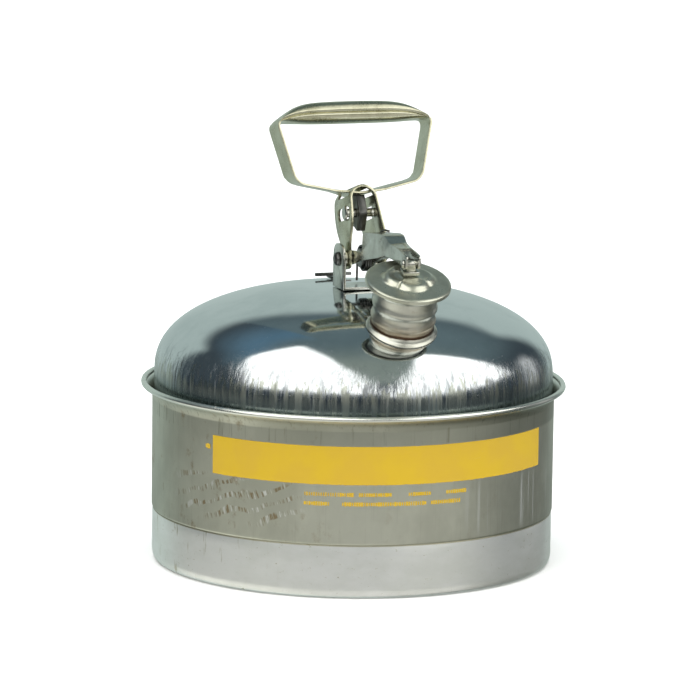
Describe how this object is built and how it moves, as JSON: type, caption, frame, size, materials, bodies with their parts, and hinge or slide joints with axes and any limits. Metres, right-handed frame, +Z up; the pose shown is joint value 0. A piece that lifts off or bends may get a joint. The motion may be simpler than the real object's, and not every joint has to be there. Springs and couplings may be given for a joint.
{
  "type": "safety can",
  "caption": "Squat round sheet-metal can for flammable liquid, with a domed top, an angled spout under a sprung self-closing cap and a swinging carrying handle.",
  "frame": {"origin": "centre of the face the can stands on", "axes": "+Z up, -Y towards the spout, +X to the right of someone who faces the spout's mouth; the handle's grip and every hinge pin lie along X"},
  "size_m": [0.3032, 0.3032, 0.3273],
  "materials": {
    "wall_steel": "satin, drawn",
    "dome_steel": "bright, with draw marks",
    "base_steel": "pale galvanised satin",
    "neck_steel": "satin, heat tinted",
    "handle_steel": "zinc plated satin",
    "fitting_steel": "plated",
    "dark_steel": "oiled spring steel",
    "mesh_steel": "woven wire",
    "gasket_rubber": "matt",
    "band_paint": "flat yellow"
  },
  "bodies": {
    "can": {"base_band": "base_steel", "bottom_pan": "wall_steel", "body_wall": "wall_steel", "dome_top": "dome_steel", "label_band": "band_paint", "spout_neck": "neck_steel", "neck_collar": "neck_steel", "arrester_rim": "fitting_steel", "arrester_screen": "mesh_steel", "arrester_end": "mesh_steel", "handle_stand": "fitting_steel", "pivot_pin": "dark_steel", "pivot_push_nut": "fitting_steel", "yoke_washer_left": "fitting_steel", "yoke_washer_right": "fitting_steel", "spring_sleeve": "dark_steel", "torsion_spring": "dark_steel", "rear_clip": "dark_steel"},
    "handle": {"handle_bail": "handle_steel", "handle_yoke": "handle_steel", "handle_tongue": "dark_steel", "tongue_pin": "fitting_steel", "tongue_rivet": "fitting_steel", "lift_stud": "fitting_steel"},
    "lid_lever": {"lid_lever": "fitting_steel", "cap_pin": "fitting_steel"},
    "cap": {"cap_shell": "neck_steel", "cap_gasket": "gasket_rubber", "gasket_retainer": "fitting_steel", "cap_stem": "fitting_steel", "cap_rivet": "fitting_steel"}
  },
  "joints": [
    {"name": "handle_swing", "type": "hinge", "parent": "can", "child": "handle", "pos_m": [0, -0.01, 0.2182], "axis": [-1, 0, 0], "range_deg": [0, 45]},
    {"name": "lid_open", "type": "hinge", "parent": "can", "child": "lid_lever", "pos_m": [0, -0.01, 0.2182], "axis": [-1, 0, 0], "range_deg": [0, 45], "stiffness_Nm_per_rad": 0.8, "springref_deg": -34.38, "deforming": ["torsion_spring"]},
    {"name": "cap_tilt", "type": "hinge", "parent": "lid_lever", "child": "cap", "pos_m": [0, -0.1181, 0.23025], "axis": [-1, 0, 0], "range_deg": [-3.6, 0]}
  ],
  "couplings": [
    {"joint": "lid_open", "follows": "handle_swing", "ratio": 1},
    {"joint": "cap_tilt", "follows": "handle_swing", "ratio": -0.08}
  ]
}
